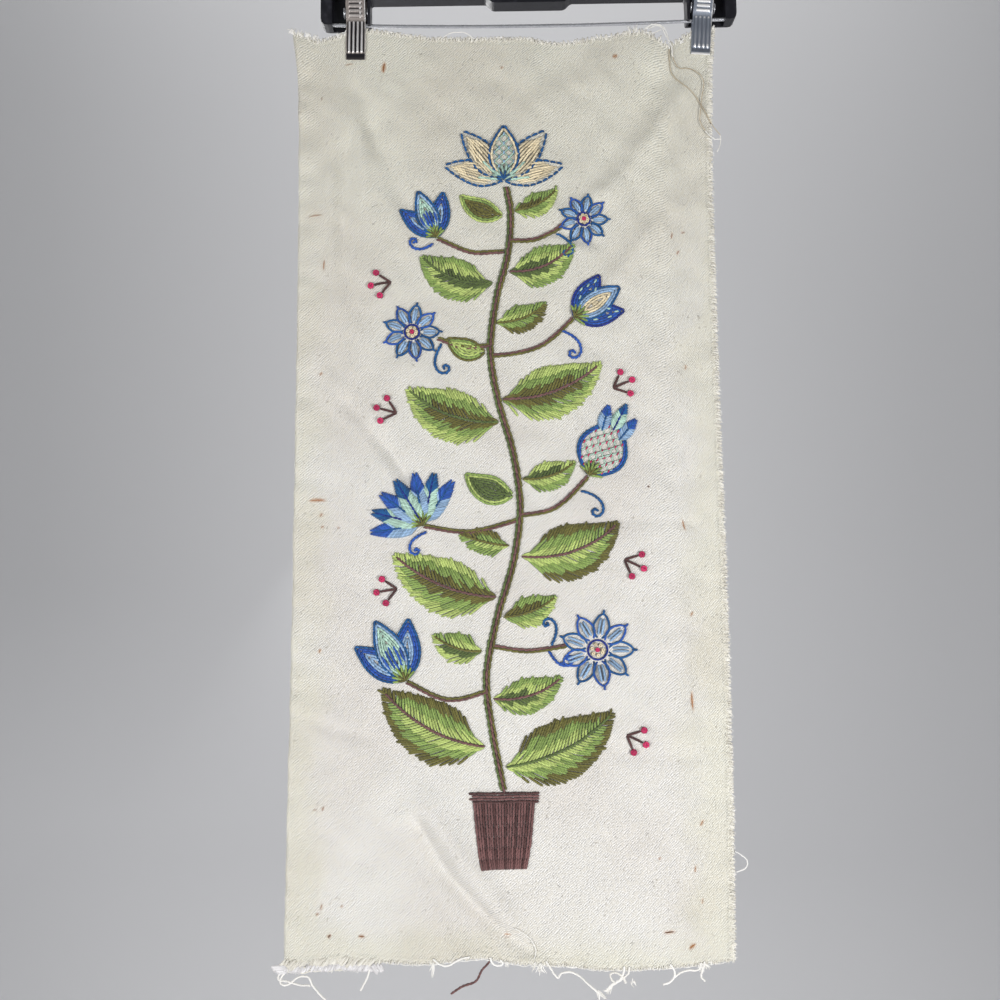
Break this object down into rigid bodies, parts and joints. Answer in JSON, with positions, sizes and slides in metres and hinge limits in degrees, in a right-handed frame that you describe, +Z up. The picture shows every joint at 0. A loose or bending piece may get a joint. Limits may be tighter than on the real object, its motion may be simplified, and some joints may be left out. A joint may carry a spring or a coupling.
{
  "type": "crewel embroidery panel on a clip hanger",
  "caption": "Hanging cotton twill panel with raised wool crewel motifs and raw frayed edges, gripped by pinch clips on the rod of a moulded hanger with a wire hook.",
  "frame": {"origin": "inside of the hook's crown, where the hanger rests on a rail", "axes": "+Z up, -Y the worked face of the cloth, +X to the viewer's right when the worked face is seen"},
  "size_m": [0.4036, 0.0195, 0.9594],
  "materials": {
    "twill_cloth": "unbleached cotton twill, matt",
    "ravelled_cotton": "loose cotton threads, matt",
    "brown_wool": "two-ply wool, matt",
    "olive_wool": "two-ply wool, matt",
    "light_green_wool": "two-ply wool, matt",
    "mid_green_wool": "two-ply wool, matt",
    "blue_wool": "two-ply wool, matt",
    "cream_wool": "two-ply wool, matt",
    "black_plastic": "satin moulded plastic",
    "bright_steel": "bright plated",
    "clip_steel": "bright plated, slightly worn"
  },
  "bodies": {
    "root": {"cloth": "twill_cloth", "top_fringe": "ravelled_cotton", "right_fringe": "ravelled_cotton", "bottom_fringe": "ravelled_cotton", "doubled_thread": "ravelled_cotton", "pot": "brown_wool", "stem": "olive_wool", "leaf_1": "mid_green_wool", "leaf_2": "light_green_wool", "leaf_3": "mid_green_wool", "leaf_4": "light_green_wool", "leaf_5": "mid_green_wool", "leaf_6": "light_green_wool", "leaf_7": "mid_green_wool", "leaf_8": "light_green_wool", "leaf_9": "mid_green_wool", "leaf_10": "light_green_wool", "leaf_11": "mid_green_wool", "leaf_12": "light_green_wool", "leaf_13": "mid_green_wool", "leaf_14": "light_green_wool", "leaf_15": "mid_green_wool", "leaf_16": "light_green_wool", "leaf_17": "mid_green_wool", "leaf_18": "light_green_wool", "flower_1": "blue_wool", "flower_2": "blue_wool", "flower_3": "blue_wool", "flower_4": "blue_wool", "flower_5": "blue_wool", "flower_6": "blue_wool", "flower_7": "blue_wool", "flower_8": "blue_wool", "flower_9": "cream_wool", "hanger_moulding": "black_plastic", "clip_rod": "bright_steel", "hook": "bright_steel", "clip_left_front_jaw": "clip_steel", "clip_left_back_jaw": "clip_steel", "clip_left_spring": "clip_steel", "clip_right_front_jaw": "clip_steel", "clip_right_back_jaw": "clip_steel", "clip_right_spring": "clip_steel"}
  },
  "joints": []
}
